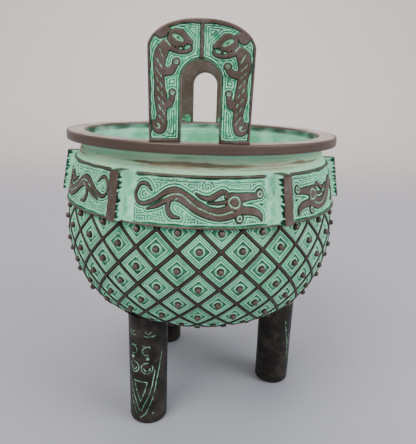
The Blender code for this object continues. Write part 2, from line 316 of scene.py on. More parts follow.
# Finish: colours are sRGB as 0 to 255, and sizes are in millimetres
finish = {
    "patina": (88, 208, 150),
    "patinaDark": (38, 124, 88),
    "patinaPale": (188, 253, 218),
    # painted shade: the near-black green that grooves and hollows are darkened to
    "grooveShade": (14, 33, 26),
    "bronze": (95, 81, 71),
    "bronzeMauve": (114, 99, 95),
    # dark specks in the metal, and also its painted shade in grooves and a darker tone on the ribs
    "bronzeGritAndShade": (32, 27, 23),
    "legBronze": (42, 39, 36),
    "legWorn": (72, 66, 60),
    "legLine": (116, 152, 132),
    # the rim's top: a worn lighter tone with a painted sheen, in two streaked colours
    "rimTopWornSheen": (176, 162, 156),
    "rimTopWornSheenDark": (142, 130, 124),
    "rimSide": (90, 73, 65),
    "neckGreen": (150, 226, 178),
    "neckPale": (200, 228, 188),
    "neckTan": (172, 166, 136),
    "neckBrown": (124, 114, 88),
    "insideGreen": (112, 190, 154),
    "mint": (204, 250, 230),
    "blotchSize": 9.0,
    "speckSize": 1.5,
    "gritShare": 0.5,
    "bareMetallic": 0.35,
}


# An sRGB colour in 0 to 255 as the shader's linear RGBA.
def linear(colour):
    return tuple(((c / 255 + 0.055) / 1.055) ** 2.4 if c > 10 else c / 3294.6 for c in colour) + (1.0,)


def tint(name):
    return linear(finish[name])


# Short calls for laying out a node tree from left to right.
class Nodes:

    def __init__(self, tree):
        self.tree = tree
        self.count = 0

    def add(self, kind, **settings):
        node = self.tree.nodes.new(kind)
        self.count += 1
        node.location = (self.count * 190.0, -40.0 * (self.count % 5))
        for name, value in settings.items():
            setattr(node, name, value)
        return node

    def link(self, output, socket):
        if isinstance(output, (int, float, tuple)):
            socket.default_value = output
        else:
            self.tree.links.new(output, socket)

    def feed(self, node, **given):
        for name, value in given.items():
            self.link(value, node.inputs[name])

    def math(self, operation, a, b):
        node = self.add("ShaderNodeMath", operation=operation)
        self.link(a, node.inputs[0])
        self.link(b, node.inputs[1])
        return node.outputs[0]

    def times(self, a, b):
        return self.math("MULTIPLY", a, b)

    def mix(self, share, a, b):
        node = self.add("ShaderNodeMix", data_type="RGBA")
        self.feed(node, Factor=share, A=a, B=b)
        return node.outputs["Result"]

    def step(self, value, low, high, toLow=0.0, toHigh=1.0):
        node = self.add("ShaderNodeMapRange", interpolation_type="SMOOTHSTEP")
        for socket, given in zip(node.inputs, (value, low, high, toLow, toHigh)):
            self.link(given, socket)
        return node.outputs[0]

    # Noise whose features are about size millimetres.
    def noise(self, vector, size, detail, roughness):
        node = self.add("ShaderNodeTexNoise")
        self.feed(node, Vector=vector, Scale=1000.0 / size, Detail=detail, Roughness=roughness)
        return node.outputs[0]


# A shader node group that takes the relief's masks and named colours, and gives what a coat of patina feeds.
def newCoat(name, colours, numbers=()):
    group = bpy.data.node_groups.new(name, "ShaderNodeTree")
    sockets = [("INPUT", socket, "NodeSocketFloat") for socket in ("Bronze", "Pale", "Deep")]
    sockets += [("INPUT", socket, "NodeSocketColor") for socket in colours]
    sockets += [("INPUT", socket, "NodeSocketFloat") for socket in numbers]
    sockets += [("OUTPUT", "Colour", "NodeSocketColor")]
    sockets += [("OUTPUT", socket, "NodeSocketFloat") for socket in ("Roughness", "Metallic", "Height")]
    for side, socket, kind in sockets:
        group.interface.new_socket(socket, in_out=side, socket_type=kind)
    nodes = Nodes(group)
    return group, nodes, nodes.add("NodeGroupInput").outputs, nodes.add("NodeGroupOutput").inputs


# Green patina with chalky lines and painted shade in its grooves, worn through to brown bronze on what stands
# out
def patinaGroup():
    group, n, given, made = newCoat("PatinaAndBronze", ("Patina", "Bare", "Worn"))
    place = n.add("ShaderNodeTexCoord").outputs["Object"]
    blotch = n.noise(place, finish["blotchSize"], 4.0, 0.6)
    speck = n.noise(place, finish["speckSize"], 4.0, 0.7)
    grit = n.noise(place, finish["speckSize"] * finish["gritShare"], 2.0, 0.7)
    ground = n.mix(n.step(blotch, 0.30, 0.62), tint("patinaDark"), given["Patina"])
    ground = n.mix(n.times(n.step(speck, 0.56, 0.74), 0.65), ground, tint("patinaPale"))
    ground = n.mix(n.times(n.step(grit, 0.56, 0.74), 0.6), ground, tint("patinaDark"))
    paleBroken = n.times(given["Pale"], n.step(speck, 0.25, 0.55, 0.35, 1.0))
    ground = n.mix(n.times(paleBroken, 0.95), ground, tint("patinaPale"))
    # painted shade: the shade mask, broken by grit, darkens the ground
    deepBroken = n.times(given["Deep"], n.step(grit, 0.2, 0.7, 1.0, 0.85))
    ground = n.mix(deepBroken, ground, tint("grooveShade"))
    metal = n.mix(n.step(blotch, 0.4, 0.7), given["Bare"], given["Worn"])
    metal = n.mix(n.times(n.step(grit, 0.48, 0.75), 0.55), metal, tint("bronzeGritAndShade"))
    # painted shade on the metal, which also darkens the ribs
    metal = n.mix(given["Deep"], metal, tint("bronzeGritAndShade"))
    crust = n.math("SUBTRACT", n.step(speck, 0.2, 0.9), 0.5)
    bare = n.step(n.math("ADD", given["Bronze"], n.times(crust, -0.75)), 0.36, 0.62)
    n.link(n.mix(bare, ground, metal), made["Colour"])
    n.link(n.step(bare, 0.0, 1.0, 0.80, 0.46), made["Roughness"])
    n.link(n.times(bare, finish["bareMetallic"]), made["Metallic"])
    rough = n.math("ADD", n.times(speck, 0.6), n.times(grit, 0.4))
    n.link(n.times(rough, n.step(bare, 0.0, 1.0, 1.0, 0.45)), made["Height"])
    return group


# Patina brushed round the vessel in streaks, over bare metal that shows where it is rubbed
def brushedGroup():
    group, n, given, made = newCoat("BrushedPatina", ("First", "Second", "Under", "Metal"), ("Streak",))
    place = n.add("ShaderNodeTexCoord").outputs["Object"]
    stretch = n.add("ShaderNodeMapping")
    n.link(place, stretch.inputs["Vector"])
    stretch.inputs["Scale"].default_value = (0.05, 0.05, 1.0)
    brushed = n.noise(stretch.outputs["Vector"], 1.5, 4.0, 0.65)
    blotch = n.noise(place, 16.0, 4.0, 0.6)
    speck = n.noise(place, 1.0, 3.0, 0.7)
    rest = n.math("SUBTRACT", 1.0, given["Streak"])
    streaks = n.math("ADD", n.times(brushed, given["Streak"]), n.times(blotch, rest))
    ground = n.mix(n.step(streaks, 0.40, 0.60), given["First"], given["Second"])
    ground = n.mix(n.times(n.step(speck, 0.55, 0.75), 0.4), ground, tint("patinaPale"))
    pale = n.times(given["Pale"], n.step(speck, 0.2, 0.6, 0.5, 1.0))
    ground = n.mix(pale, ground, tint("patinaPale"))
    # painted shade: the shade mask darkens the ground
    ground = n.mix(n.times(given["Deep"], 0.9), ground, tint("grooveShade"))
    metal = n.mix(n.step(streaks, 0.38, 0.64), given["Under"], given["Metal"])
    rubbed = n.times(n.math("SUBTRACT", streaks, 0.5), -2.0)
    bare = n.step(n.math("ADD", given["Bronze"], rubbed), 0.35, 0.65)
    n.link(n.mix(bare, ground, metal), made["Colour"])
    n.link(n.step(bare, 0.0, 1.0, 0.74, 0.40), made["Roughness"])
    n.link(n.times(bare, finish["bareMetallic"]), made["Metallic"])
    n.link(n.math("ADD", brushed, n.times(speck, 0.4)), made["Height"])
    return group


# A material whose masks come from the mesh and whose colours come from one of the shared groups
def coatedMaterial(name, group, colours, streak=None, bumpDistance=0.10, specular=0.2):
    material = bpy.data.materials.new(name)
    material.use_nodes = True
    n = Nodes(material.node_tree)
    shader = material.node_tree.nodes["Principled BSDF"]
    shader.location = (1900.0, 0.0)
    material.node_tree.nodes["Material Output"].location = (2300.0, 0.0)
    coat = n.add("ShaderNodeGroup")
    coat.node_tree = group
    for maskName in ("bronze", "pale", "deep"):
        mask = n.add("ShaderNodeAttribute", attribute_name=maskName)
        n.link(mask.outputs["Fac"], coat.inputs[maskName.title()])
    for socketName, colourName in colours.items():
        coat.inputs[socketName].default_value = tint(colourName)
    if streak:
        coat.inputs["Streak"].default_value = streak
    height = n.add("ShaderNodeBump")
    height.inputs["Strength"].default_value = 0.6
    height.inputs["Distance"].default_value = bumpDistance * mm
    n.link(coat.outputs["Height"], height.inputs["Height"])
    n.link(coat.outputs["Colour"], shader.inputs["Base Color"])
    for socketName in ("Roughness", "Metallic"):
        n.link(coat.outputs[socketName], shader.inputs[socketName])
    n.link(height.outputs["Normal"], shader.inputs["Normal"])
    shader.inputs["Specular IOR Level"].default_value = specular
    return material


patina = patinaGroup()
brushed = brushedGroup()
reliefColours = {"Patina": "patina", "Bare": "bronze", "Worn": "bronzeMauve"}
legColours = {"Patina": "legLine", "Bare": "legBronze", "Worn": "legWorn"}
reliefFinish = coatedMaterial("relief_patina", patina, reliefColours)
legFinish = coatedMaterial("leg_bronze", patina, legColours)
print("stage: finish ready")


# Bowl: net of lozenges with a knob in each
lattice = {
    "columns": 24,
    "rows": 9,
    "rowHeight": 10.15,
    "firstRowDrop": 1.3,
    "top": -1.5,
    "end": 80.6,
    "sideSteps": 5,
    "ringRadius": 2.3,
    "flatRow": 6,
    "roundFrom": 10.4,
    "bedRise": -0.9,
    "wornFrom": 0.2,
    "wornTo": 0.36,
    "wornRise": -0.72,
    # share of the way in from the ribs' middle: rise, bronze, pale, painted shade (on the ribs' middle it
    # darkens the metal)
    "section": [
        (0.000, 0.00, 1.0, 0.0, 0.45),
        (0.050, -0.02, 1.0, 0.0, 0.55),
        (0.090, -0.12, 1.0, 0.0, 0.8),
        (0.110, -0.55, 0.8, 0.0, 1.0),
        (0.130, -0.90, 0.0, 0.0, 1.0),
        (0.152, -0.74, 0.0, 0.5, 0.0),
        (0.172, -0.56, 0.0, 1.0, 0.0),
        (0.216, -0.62, 0.0, 0.7, 0.0),
        (0.240, -0.84, 0.0, 0.0, 0.5),
        (0.276, -0.84, 0.0, 0.0, 0.5),
        (0.300, -0.56, 0.0, 1.0, 0.0),
        (0.352, -0.60, 0.0, 0.7, 0.0),
        (0.376, -0.86, 0.0, 0.0, 0.6),
        (0.412, -0.86, 0.0, 0.0, 0.6),
        (0.436, -0.54, 0.0, 1.0, 0.0),
        (0.500, -0.60, 0.0, 0.9, 0.0),
        (0.526, -1.02, 0.0, 0.0, 0.85),
    ],
    # knob and its ring, from outside in: radius as a share of the ring, rise, bronze, pale, painted shade
    "knob": [
        (1.26, -1.05, 0.0, 0.2, 0.5),
        (1.12, -0.85, 0.0, 0.6, 0.2),
        (1.00, -0.58, 0.0, 1.0, 0.0),
        (0.88, -0.62, 0.0, 0.8, 0.0),
        (0.77, -0.98, 0.0, 0.0, 1.0),
        (0.70, -0.85, 0.6, 0.0, 0.8),
        (0.68, 0.10, 1.0, 0.0, 0.5),
        (0.61, 0.85, 1.0, 0.0, 0.2),
        (0.45, 1.30, 1.0, 0.0, 0.0),
        (0.22, 1.48, 1.0, 0.0, 0.0),
        (0.00, 1.54, 1.0, 0.0, 0.0),
    ],
}


# One lozenge as rings of quads, from the middle of its ribs in to its knob.
def latticeCell(relief, centreAngle, row):
    v = lattice
    halfAngle = math.pi / v["columns"]
    side = np.linspace(-1.0, 1.0, v["sideSteps"], endpoint=False)
    ones = np.ones(len(side))
    sides = ((side, -ones), (ones, side), (-side, ones), (-ones, -side))
    square = np.concatenate([np.column_stack(pair) for pair in sides])
    rowArc = row * v["rowHeight"]
    drop = v["firstRowDrop"] if row == 0 else 0.0
    localRadius = float(onBowl(rowArc + drop, 0.0)[0])
    halfWidth = localRadius * halfAngle
    points, rises, masks = [], [], []

    # One more line of points round the lozenge.
    def addLine(across, down, rise, shares):
        points.append(pointsOf(across, down))
        rises.append(np.full(len(square), rise))
        masks.append(np.tile(shares, (len(square), 1)))

    worn = unevenness(np.array([9.0 * centreAngle, 5.0 * row, 0.0]), 2.0)
    clear = 0.25 + 0.75 * float(smooth(worn, -0.9, 0.5))
    for inward, rise, *shares in v["section"]:
        if v["wornFrom"] < inward < v["wornTo"]:
            rise = v["wornRise"] + (rise - v["wornRise"]) * clear
            shares = [shares[0], shares[1] * clear, shares[2] * clear]
        cell = square * (1.0 - inward)
        across = (cell[:, 0] + cell[:, 1]) / 2 * halfAngle
        down = -(cell[:, 0] - cell[:, 1]) / 2 * v["rowHeight"] + drop * inward
        addLine(across, down, rise, shares)
    x = (square[:, 0] + square[:, 1]) / 2
    y = -(square[:, 0] - square[:, 1]) / 2
    turn = np.arctan2(y * v["rowHeight"], x * halfWidth)
    squash = min(1.0, halfWidth / v["roundFrom"])
    for share, rise, *shares in v["knob"]:
        rise = rise if row < v["flatRow"] else min(rise, 0.25 + 0.2 * rise)
        radius = share * v["ringRadius"] * (squash if share > 0.7 else 1.0)
        addLine(radius * np.cos(turn) / localRadius, radius * np.sin(turn) + drop, rise, shares)
    flat = np.array(points)
    down = rowArc + flat[..., 1]
    rise = np.where(down < v["top"], v["bedRise"], np.array(rises))
    radius, height = onBowl(np.clip(down, v["top"], v["end"]), rise)
    grid = closed(around(radius, centreAngle + flat[..., 0], height))
    masks = closed(np.array(masks))
    relief.addGrid(grid, flip=True, bronze=masks[..., 0], pale=masks[..., 1], deep=masks[..., 2])


def buildBowl():
    v = lattice
    step = math.tau / v["columns"]
    for name, rows in (("bowl_lattice_upper", range(0, 5)), ("bowl_lattice_lower", range(5, v["rows"]))):
        relief = Relief()
        for row in rows:
            for column in range(v["columns"]):
                latticeCell(relief, (column + 0.5 * ((row + 1) % 2)) * step, row)
        if name.endswith("lower"):
            arcs = np.linspace(v["end"], bowlArc[-1], 16)[:, None]
            angles = np.linspace(0.0, math.tau, 241)
            radius, height = onBowl(arcs, np.where(arcs > v["end"], v["bedRise"], 0.0))
            relief.addGrid(around(radius, angles, height), bronze=0.35, pale=0.0, deep=0.3)
        relief.build(name, reliefFinish)


buildBowl()


# Belt: six panels, each with a dragon on a ground of angular spirals
belt = {
    "panels": 6,
    "columnsPerPanel": 250,
    "rows": 74,
    "figureRise": 0.85,
    "groundLine": 0.24,
    "spiralWidth": 6.4,
    "spiralHeight": 5.2,
    "spiralPitch": 1.28,
    "stretch": 1.045,
    "plainFrom": 33.6,
    "topLineHalf": 34.5,
    "roughRadius": 78.0,
    "tuckLow": 2.2,
    "tuckHigh": 2.0,
    # lines along the ground's foot and top, and how near them the spirals stop
    "footLine": 1.6,
    "headLine": 21.7,
    "lineMargin": 0.5,
    # the dragon's mouth: from, to, middle height, half height
    "mouth": (19.6, 31.0, 10.3, 3.4),
    # two contour lines round the dragon, and how far out the spirals begin
    "contours": (0.68, 1.95),
    "spiralsFrom": 2.4,
    # round spirals among the angular ones: x, y, radius, turn
    "curls": [(-28.0, 13.6, 3.2, 1.0), (-9.8, 8.3, 3.0, -1.0), (3.4, 18.6, 3.4, 1.0)],
    "curlPitch": 1.3,
}

# The dragon, in millimetres across and up from the middle of its panel's foot.
# bands are rows of (x, y, half width); rounds are x, y, radius and the radius of the ring cut in it.
dragon = {
    "bands": {
        "tailAndBack": [
            (-23.6, 16.0, 0.25), (-26.2, 18.6, 0.75), (-29.6, 18.4, 0.75), (-31.8, 14.6, 0.75),
            (-30.4, 10.6, 0.75), (-26.8, 9.2, 0.85), (-22.6, 11.0, 1.0), (-18.6, 14.2, 1.1),
            (-14.4, 16.4, 1.15), (-10.6, 16.6, 1.15), (-5.3, 14.1, 1.15), (-0.5, 10.9, 1.15),
            (4.2, 8.5, 1.15), (9.5, 7.9, 1.2), (13.4, 9.0, 1.3)],
        "belly": [
            (-25.0, 7.0, 0.3), (-20.1, 9.5, 0.9), (-15.4, 12.3, 1.15), (-11.2, 13.3, 1.25), (-6.4, 11.0, 1.3),
            (-1.6, 7.9, 1.3), (3.7, 5.5, 1.3), (9.5, 4.7, 1.3), (14.8, 5.9, 1.25), (18.6, 7.6, 1.2)],
        "trunk": [
            (-18.0, 12.6, 0.3), (-13.2, 15.0, 0.9), (-9.4, 14.9, 1.0), (-5.8, 12.6, 1.0), (-1.0, 9.4, 1.0),
            (4.0, 7.0, 1.0), (9.5, 6.2, 1.0), (14.6, 7.4, 1.0)],
        "leg": [(-14.6, 11.6, 1.0), (-15.0, 8.0, 1.0), (-13.0, 4.6, 0.95), (-9.6, 3.9, 0.45)],
        "crest": [
            (-2.4, 15.8, 0.2), (1.0, 13.8, 0.8), (4.6, 13.4, 1.15), (7.8, 15.2, 1.2), (10.2, 16.5, 1.1),
            (12.0, 15.6, 0.9), (11.8, 13.9, 0.6)],
        "lock": [(3.4, 11.3, 0.2), (7.6, 11.3, 0.6), (12.6, 11.6, 0.9)],
        "upperJaw": [(14.6, 14.0, 2.2), (20.4, 13.8, 2.0), (25.6, 14.2, 1.5), (28.0, 14.6, 1.2)],
        "lowerJaw": [
            (17.4, 8.8, 1.8), (21.4, 7.8, 1.7), (25.4, 7.2, 1.7), (28.2, 5.6, 1.35), (28.9, 3.2, 0.5)],
    },
    "rounds": [(15.7, 11.8, 4.0, 2.65), (28.4, 15.4, 2.15, 1.15), (18.2, 4.6, 2.05, 1.05)],
    "tailLineStart": (-22.6, 9.9),
    "legLine": [(-10.8, 13.6), (-12.6, 11.6), (-13.0, 8.4), (-11.4, 5.6)],
    "crestCurl": (11.4, 14.9),
}


# For points across and up a panel: distance outside the dragon, and distance from its inner light lines.
def dragonMasks(p):
    v = dragon
    solids, lines = figureParts(p, v)
    spine = [v["tailLineStart"]] + [row[:2] for row in v["bands"]["trunk"]]
    lines.append(roundSpiral(p, v["crestCurl"], 0.8, 1.0, 1.0))
    lines.append(distanceTo(p, rounded(spine)) + 0.08)
    lines.append(distanceTo(p, v["legLine"]) + 0.1)
    return np.minimum.reduce(solids), np.minimum.reduce(lines)


# Rise and masks of one panel's ground and dragon, for points across and up in millimetres.
def panelRelief(p):
    v = belt
    bent = handDrawn(p, 0.22, 7.0, 0, 9)
    x, y = bent[..., 0], bent[..., 1]
    outside, inner = dragonMasks(bent * np.array([1.0 / v["stretch"], 1.0]))
    body = 1.0 - smooth(outside, -0.14, 0.14)
    groove = bump(inner, 0.0, 0.64) * (outside < 0.2)
    field = squareSpirals(bent + np.array([0.6, 0.5]), v["spiralWidth"], v["spiralHeight"], v["spiralPitch"])
    curls = [roundSpiral(bent, (cx, cy), radius, v["curlPitch"], turn) for cx, cy, radius, turn in v["curls"]]
    inCurl = np.minimum.reduce([disc(bent, (cx, cy), radius + 0.1) for cx, cy, radius, _ in v["curls"]])
    field = np.where(np.abs(inCurl) < 0.45, np.abs(inCurl - 0.1), field)
    field = np.where(inCurl < 0.0, np.minimum.reduce(curls), field)
    left, right, middle, high = v["mouth"]
    inMouth = (x > left) & (x < right) & (np.abs(y - middle) < high)
    field = np.where(inMouth, np.abs(np.abs(y - middle) - 1.0), field)
    contour = np.minimum.reduce([np.abs(outside - away) for away in v["contours"]])
    lines = np.where(outside < v["spiralsFrom"], contour, field)
    foot, head, margin = v["footLine"], v["headLine"], v["lineMargin"]
    edgeLines = np.minimum(np.abs(y - foot), np.abs(y - head))
    lines = np.where((y < foot + margin) | (y > head - margin), edgeLines, lines)
    plain = smooth(np.abs(p[..., 0]), v["plainFrom"] - 0.5, v["plainFrom"] + 0.1)
    light = (1.0 - smooth(lines, 0.12, 0.42)) * (1 - plain)
    dark = smooth(lines, 0.36, 0.54) * (1 - plain)
    edgeShade = bump(outside, 0.16, 0.34)
    rise = v["groundLine"] * light * (1 - body) - 0.18 * dark * (1 - body) - 0.1 * edgeShade * (1 - body)
    rise = rise + body * (v["figureRise"] - 0.62 * groove)
    mottled = smooth(unevenness(layer(p, 4), 3.2), -0.8, 0.7)
    pale = np.clip(light * (1 - body) + 0.9 * groove * body + (0.38 + 0.62 * mottled) * plain, 0, 1)
    # painted shade in the ground's grooves, along the dragon's edge and just outside it
    deep = np.clip((0.95 * dark + edgeShade) * (1 - body) + 0.5 * bump(outside, -0.1, 0.35) * body, 0, 1)
    return rise, body * (1 - groove), pale, deep


def buildBelt():
    v = belt
    panelAngle = math.tau / v["panels"]
    halfLine = vessel["lineWidth"] / 2
    low, high = vessel["beltBottom"], vessel["beltTop"]
    heights = np.concatenate([
        [low - halfLine - 0.1, low - halfLine, low - 0.35, low, low + 0.35],
        np.linspace(low + halfLine, high - halfLine, v["rows"]),
        [high - 0.35, high, high + 0.35, high + halfLine, high + halfLine + 0.1],
    ])
    across = np.linspace(-0.5, 0.5, v["columnsPerPanel"] + 1) * panelAngle
    z = heights[:, None] + 0 * across
    soft = (halfLine - 0.25, halfLine + 0.12)
    lineAt, topAt = [1.0 - smooth(np.abs(z - level), *soft) for level in (low, high)]
    for name, panels in (("belt_front", (5, 0, 1)), ("belt_back", (2, 3, 4))):
        relief = Relief()
        for panel in panels:
            facing = (-1) ** panel
            p = pointsOf(facing * across * vessel["beltBottomRadius"], z - low)
            rise, bronze, pale, deep = panelRelief(p)
            ends = smooth(np.abs(p[..., 0]), v["topLineHalf"] - 0.6, v["topLineHalf"] + 0.2)
            line = np.maximum(lineAt, topAt * (1 - ends))
            angle = panel * panelAngle + across + 0 * z
            rough = unevenness(around(v["roughRadius"], angle, z), 6.0)
            rise = np.where(line > 0.02, np.maximum(rise, line * vessel["lineRise"]), rise)
            radius = beltCrest(heights)[:, None] - vessel["lineRise"] + rise + 0.05 * rough
            radius[0] -= v["tuckLow"]
            radius[-1] -= v["tuckHigh"]
            relief.addGrid(around(radius, angle, z), bronze=np.maximum(bronze, line * (0.9 + 0.25 * rough)),
                           pale=pale * (1 - line), deep=deep * (1 - line))
        relief.build(name, reliefFinish)


buildBelt()


# Flanges between the panels
flange = {
    "count": 6,
    "halfWidth": 2.9,
    "topRise": 6.1,
    "bottomRise": 5.1,
    "overhang": 0.5,
    "notches": 5,
    "rows": 90,
    "capSink": 0.9,
    # lines up each side, from inside the belt's wall out, as shares of the rise
    "sideLines": (-0.15, 0.15, 0.35, 0.50, 0.60, 0.66, 0.72, 0.77, 0.82, 0.87),
}


def buildFlanges():
    v = flange
    top = vessel["beltTop"] + vessel["lineWidth"] / 2 + v["overhang"]
    bottom = vessel["beltBottom"] + vessel["lineWidth"] / 2
    heights = np.linspace(bottom, top, v["rows"])
    share = (heights - bottom) / (top - bottom)
    base = beltCrest(np.minimum(heights, vessel["beltTop"])) - vessel["lineRise"]
    reach = (v["bottomRise"] + (v["topRise"] - v["bottomRise"]) * share) + vessel["lineRise"]
    # across the flange: side (-1, 0, 1), how far out (0 root, 1 face), share of its half width, bronze
    section = [(-1, out, 1.0, 0) for out in v["sideLines"]]
    section += [(-1, 0.92, 1.0, 0.6), (-1, 0.96, 0.96, 1), (-1, 1.0, 0.84, 1), (-1, 1.0, 0.5, 1)]
    section += [(0, 1.0, 0.0, 1)] + [(-side, *rest) for side, *rest in section[::-1]]
    for index in range(v["count"]):
        relief = Relief()
        middle = math.tau * (index + 0.5) / v["count"]
        notchPhase = share * v["notches"] + 0.25 * np.sin(index * 2.1 + 9.0 * share)
        notch = bump(np.abs(notchPhase - np.round(notchPhase)), 0.0, 0.14)
        points, bronze, pale, deep = [], [], [], []
        for side, out, wide, bare in section:
            sidePart = smooth(out, 0.45, 0.62) * (1.0 - smooth(out, 0.97, 1.0)) * abs(side)
            cut = notch * sidePart
            wave = 0.16 * unevenness(pointsOf(heights, 9 * index, 3 * side), 2.6)
            ragged = unevenness(pointsOf(heights, 7 * index, side), 1.3)
            x = side * wide * v["halfWidth"] - side * 0.42 * cut + side * 0.5 * wave * smooth(out, 0.6, 0.9)
            radius = base + out * reach - 0.10 * cut + 0.12 * wave * (out >= 1.0)
            shade = smooth(out + 0.16 * ragged, 0.66, 0.78) * (out < 0.97)
            points.append(pointsOf(x, -radius, heights))
            bronze.append(bare * (1 - 0.9 * cut))
            pale.append(np.clip(0.9 * cut + 0.85 * (1 - bare) * (1 - shade), 0, 1))
            deep.append(shade * (1 - cut))
        grid = np.array(points)
        for row, level in ((0, bottom), (-1, vessel["beltTop"])):
            cap = grid[:, row]
            flat = cap.copy()
            flat[:, 1] = -(beltCrest(level) - vessel["lineRise"] - v["capSink"])
            strip = rotate(np.stack([cap, flat], axis=1), middle)
            relief.addGrid(strip, flip=row < 0, bronze=0.55, pale=0.2, deep=0.0)
        relief.addGrid(rotate(grid, middle), bronze=bronze, pale=pale, deep=deep)
        relief.build("flange_%d" % (index + 1), reliefFinish)


buildFlanges()


# Rim, neck and the inside
rim = {
    "segments": 288,
    "dent": 0.10,
    "insideBend": 160.0,
}


# A finish for turned surfaces: two patina colours, two of the metal and how far the streaks show
def turnedMaterial(name, colours, streak):
    named = dict(zip(("First", "Second", "Under", "Metal"), colours))
    return coatedMaterial(name, brushed, named, streak, bumpDistance=0.08, specular=0.35)


# A surface of revolution from rows of (radius, height, bronze, pale, painted shade).
def turned(name, profile, material, patches=0.0):
    radius, height, bronze, pale, deep = np.array(profile, float).T[..., None]
    angles = np.linspace(0.0, math.tau, rim["segments"] + 1)
    place = around(radius, angles, height)
    dent = rim["dent"] * unevenness(place, 22.0) - rim["dent"] * 1.5 * (radius > vessel["rimRadius"] - 2.0)
    rubbed = bronze + patches * unevenness(place, 42.0) * (bronze > 0)
    shade = 0.85 + 0.35 * unevenness(place, 9.0)
    dented = np.maximum(radius + dent * (radius > 1.0), 0.0)
    relief = Relief()
    relief.addGrid(around(dented, angles, height), bronze=rubbed, pale=pale, deep=deep * shade)
    relief.build(name, material)


# Rows from a towards b, without b.
def between(a, b, steps):
    a, b = np.array(a), np.array(b)
    return [tuple(a + (b - a) * t) for t in np.linspace(0, 1, steps, endpoint=False)]


def buildTurned():
    v = vessel
    top, under = v["rimHeight"], v["rimHeight"] - v["rimThickness"]
    outer, edge, mouth = v["rimRadius"], v["rimEdge"], v["mouthRadius"]
    # The last number in each row is painted shade: a painted shadow at the lip's inner edge and under the
    # rim's overhang.
    lip = [(mouth - 0.1, top - 1.6, 0.3, 0.0, 0.9), (mouth, top - 0.7, 0.5, 0.0, 0.5),
           (mouth + 0.3, top - 0.15, 0.8, 0.0, 0.1)]
    lip += between((mouth + 0.9, top, 0.2, 0.0, 0.0), (outer - edge - 0.4, top, 0.3, 0.0, 0.0), 8)
    lip += [(outer - edge, top - 0.02, 1, 0, 0), (outer - 0.35 * edge, top - 0.2, 1, 0, 0),
            (outer, top - edge, 1, 0, 0)]
    lip += between((outer, top - edge - 0.3, 1, 0, 0), (outer, under + 0.7, 1, 0, 0), 5)
    lip += [(outer, under + 0.5, 1, 0, 0), (outer - 0.2, under + 0.1, 1, 0, 0),
            (outer - 0.6, under, 0.7, 0, 0.6)]
    lip += between((outer - 1.4, under, 0.4, 0, 0.9), (v["neckRadius"] + 0.6, under, 0.1, 0.2, 0.7), 4)
    # The top's streaked colours are a worn lighter tone with a painted sheen.
    rimFinish = turnedMaterial("rim_bronze", ("rimTopWornSheenDark", "rimTopWornSheen", "bronze", "rimSide"), 0.7)
    turned("rim", lip[::-1], rimFinish)

    neck = []
    spread = v["beltTopRadius"] - v["lineRise"] - v["neckRadius"]
    middle = (under + v["beltTop"]) / 2
    for z in np.linspace(under + 0.1, v["beltTop"] + v["lineWidth"] / 2 - 0.4, 30):
        share = (under - z) / (under - v["beltTop"])
        radius = v["neckRadius"] + spread * np.clip(share, 0, 1) ** 1.25
        radius -= v["neckHollow"] * (1 - min(1.0, abs(z - middle) / (under - middle)) ** 2)
        # The band under the rim is a painted highlight standing for a small step there; the last number is a
        # painted shadow just under the rim.
        pale = 0.75 * bump(z, under - 2.3, 0.8) + 0.5 * bump(z, v["beltTop"] + 1.6, 1.3)
        neck.append((radius, z, 0.50 * bump(share, 0.58, 0.48), pale, 1.0 - smooth(under - z, 0.2, 1.4)))
    neckFinish = turnedMaterial("neck_patina", ("neckGreen", "neckPale", "neckBrown", "neckTan"), 0.8)
    turned("neck", neck[::-1], neckFinish, patches=-0.26)

    throat, bend = v["neckRadius"] - v["wall"], rim["insideBend"]
    # The first rows carry a painted shadow under the lip's inner edge.
    inside = [(mouth - 0.1, top - 1.6, 0.2, 0.0, 1.0), (mouth - 0.5, top - 3.2, 0, 0.0, 1.0),
              (mouth - 0.8, top - 4.0, 0, 0.0, 0.8)]
    inside += between((throat, under, 0, 0.4, 0.3), (throat, bend, 0, 0.4, 0), 3)
    for z in np.linspace(bend - 2.0, v["beltBottom"], 10):
        share = min(1.0, max(0.0, (z - v["beltTop"]) / (bend - v["beltTop"])))
        belly = beltCrest(min(z, v["beltTop"])) - v["lineRise"] - v["wall"]
        inside.append((belly + (throat - belly) * share, z, 0, 0.3, 0))
    for share in np.linspace(0.06, 1.0, 28):
        radius, height = onBowl(share * bowlArc[-1], lattice["bedRise"] - v["wall"])
        inside.append((radius * min(1.0, (1.0 - share) * 12), height, 0, 0.25 * (1 - share), 0.2 * share))
    insideFinish = turnedMaterial("inside_patina", ("insideGreen", "mint", "neckBrown", "neckTan"), 0.35)
    turned("inside", inside, insideFinish)


buildTurned()


# Handles: arched plates with two beasts on the outer face
handle = {
    "inset": 3.8,
    "thickness": 6.6,
    "turn": -1.0,
    "halfWidth": 22.55,
    "flare": 0.7,
    "height": 52.0,
    "shoulder": 11.8,
    "powerOut": 2.3,
    "powerUp": 1.8,
    "archHalfWidth": 8.6,
    "archHeight": 35.4,
    "root": 1.5,
    "edge": 0.6,
    "border": 1.05,
    "beastRise": 0.62,
    "groundDepth": 0.10,
    "faceSink": 0.35,
    "linePitch": 1.05,
    "barFrom": 34.0,
    "barHalf": 0.68,
    "footStrip": 1.6,
    "along": 380,
    "across": 78,
}

